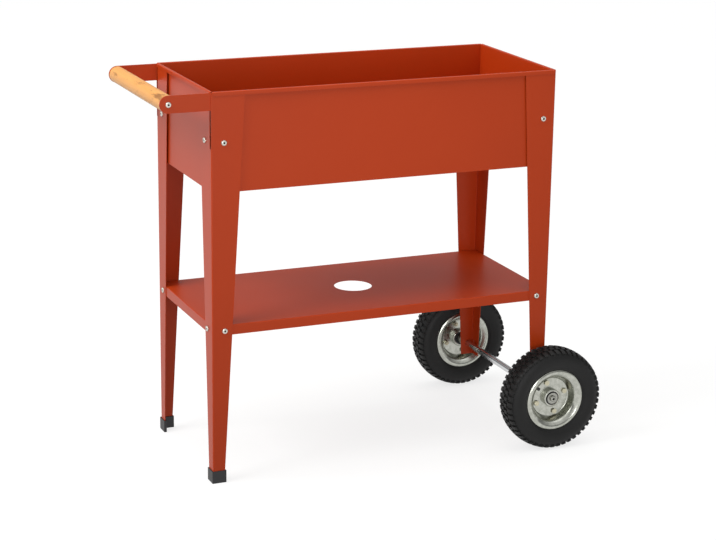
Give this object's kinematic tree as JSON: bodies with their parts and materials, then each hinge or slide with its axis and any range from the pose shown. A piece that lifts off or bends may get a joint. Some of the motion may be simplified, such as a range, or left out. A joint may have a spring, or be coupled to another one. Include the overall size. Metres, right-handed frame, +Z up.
{
  "type": "planter trolley",
  "caption": "Raised planter trolley: a steel panel tray on tapered angle legs with a lower shelf, a wooden push handle at one end and pneumatic wheels on an axle at the other.",
  "frame": {"origin": "on the floor, in the middle of the whole trolley's outline", "axes": "+X along the tray towards the wheels, +Y towards the back, +Z up; the handle is at -X"},
  "size_m": [0.947, 0.504, 0.8],
  "materials": {
    "red_paint": "satin powder coat",
    "wood": "clear lacquer",
    "black_plastic": "matt",
    "tyre_rubber": "matt",
    "tube_rubber": "matt",
    "rim_zinc": "zinc plated",
    "axle_zinc": "zinc plated",
    "bearing_steel": "ground",
    "fastener_zinc": "zinc plated"
  },
  "bodies": {
    "frame": {"axle": "axle_zinc", "back_bearing_inner_rings": "bearing_steel", "back_foot_cap": "black_plastic", "back_handle_arm": "red_paint", "back_handle_leg": "red_paint", "back_wheel_bolt": "fastener_zinc", "back_wheel_leg": "red_paint", "back_wheel_spacer": "axle_zinc", "back_wheel_washer": "fastener_zinc", "front_bearing_inner_rings": "bearing_steel", "front_foot_cap": "black_plastic", "front_handle_arm": "red_paint", "front_handle_leg": "red_paint", "front_wheel_bolt": "fastener_zinc", "front_wheel_leg": "red_paint", "front_wheel_spacer": "axle_zinc", "front_wheel_washer": "fastener_zinc", "handle_grip": "wood", "handle_screws": "fastener_zinc", "shelf": "red_paint", "shelf_bolts": "fastener_zinc", "shelf_nuts": "fastener_zinc", "tray_back_panel": "red_paint", "tray_bolts": "fastener_zinc", "tray_floor_panel": "red_paint", "tray_front_panel": "red_paint", "tray_handle_panel": "red_paint", "tray_nuts": "fastener_zinc", "tray_spacers": "black_plastic", "tray_wheel_panel": "red_paint"},
    "front_wheel": {"front_bearing_balls": "bearing_steel", "front_bearing_outer_rings": "bearing_steel", "front_inner_rim": "rim_zinc", "front_inner_tube": "tube_rubber", "front_outer_rim": "rim_zinc", "front_rim_bolts": "fastener_zinc", "front_rim_nuts": "fastener_zinc", "front_tyre": "tyre_rubber", "front_valve_cap": "black_plastic"},
    "back_wheel": {"back_bearing_balls": "bearing_steel", "back_bearing_outer_rings": "bearing_steel", "back_inner_rim": "rim_zinc", "back_inner_tube": "tube_rubber", "back_outer_rim": "rim_zinc", "back_rim_bolts": "fastener_zinc", "back_rim_nuts": "fastener_zinc", "back_tyre": "tyre_rubber", "back_valve_cap": "black_plastic"}
  },
  "joints": [
    {"name": "front_wheel_spin", "type": "hinge", "parent": "frame", "child": "front_wheel", "pos_m": [0.364, -0.221, 0.1095], "axis": [0, 1, 0], "continuous": true},
    {"name": "back_wheel_spin", "type": "hinge", "parent": "frame", "child": "back_wheel", "pos_m": [0.364, 0.221, 0.1095], "axis": [0, 1, 0], "continuous": true}
  ]
}
